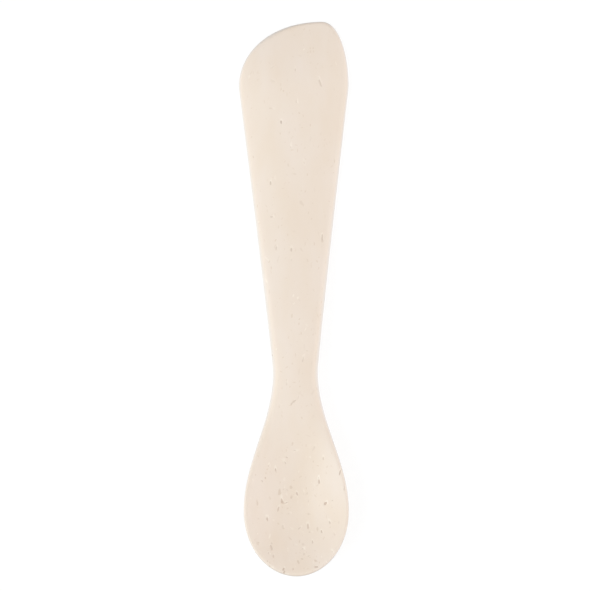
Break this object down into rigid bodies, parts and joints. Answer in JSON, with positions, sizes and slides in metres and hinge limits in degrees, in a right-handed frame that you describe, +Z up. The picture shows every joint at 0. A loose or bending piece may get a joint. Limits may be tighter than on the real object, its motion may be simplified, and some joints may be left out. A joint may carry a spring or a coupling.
{
  "type": "child spoon",
  "caption": "Child's spoon with a scooped egg-shaped bowl, a slim neck and a broad crowned handle that ends in a slanting, thinned spreader edge.",
  "frame": {"origin": "halfway along the spoon and midway across its blade, on the surface that the spoon lies on", "axes": "+Y along the spoon from the bowl to the blade, +X across it to the side that the blade's tip leans to, +Z up out of the bowl's hollow"},
  "size_m": [0.0298, 0.15, 0.0078],
  "materials": {
    "fibre_plastic": "satin, pale beige plant-fibre plastic with sparse brown straw flecks"
  },
  "bodies": {
    "root": {"spoon": "fibre_plastic"}
  },
  "joints": []
}
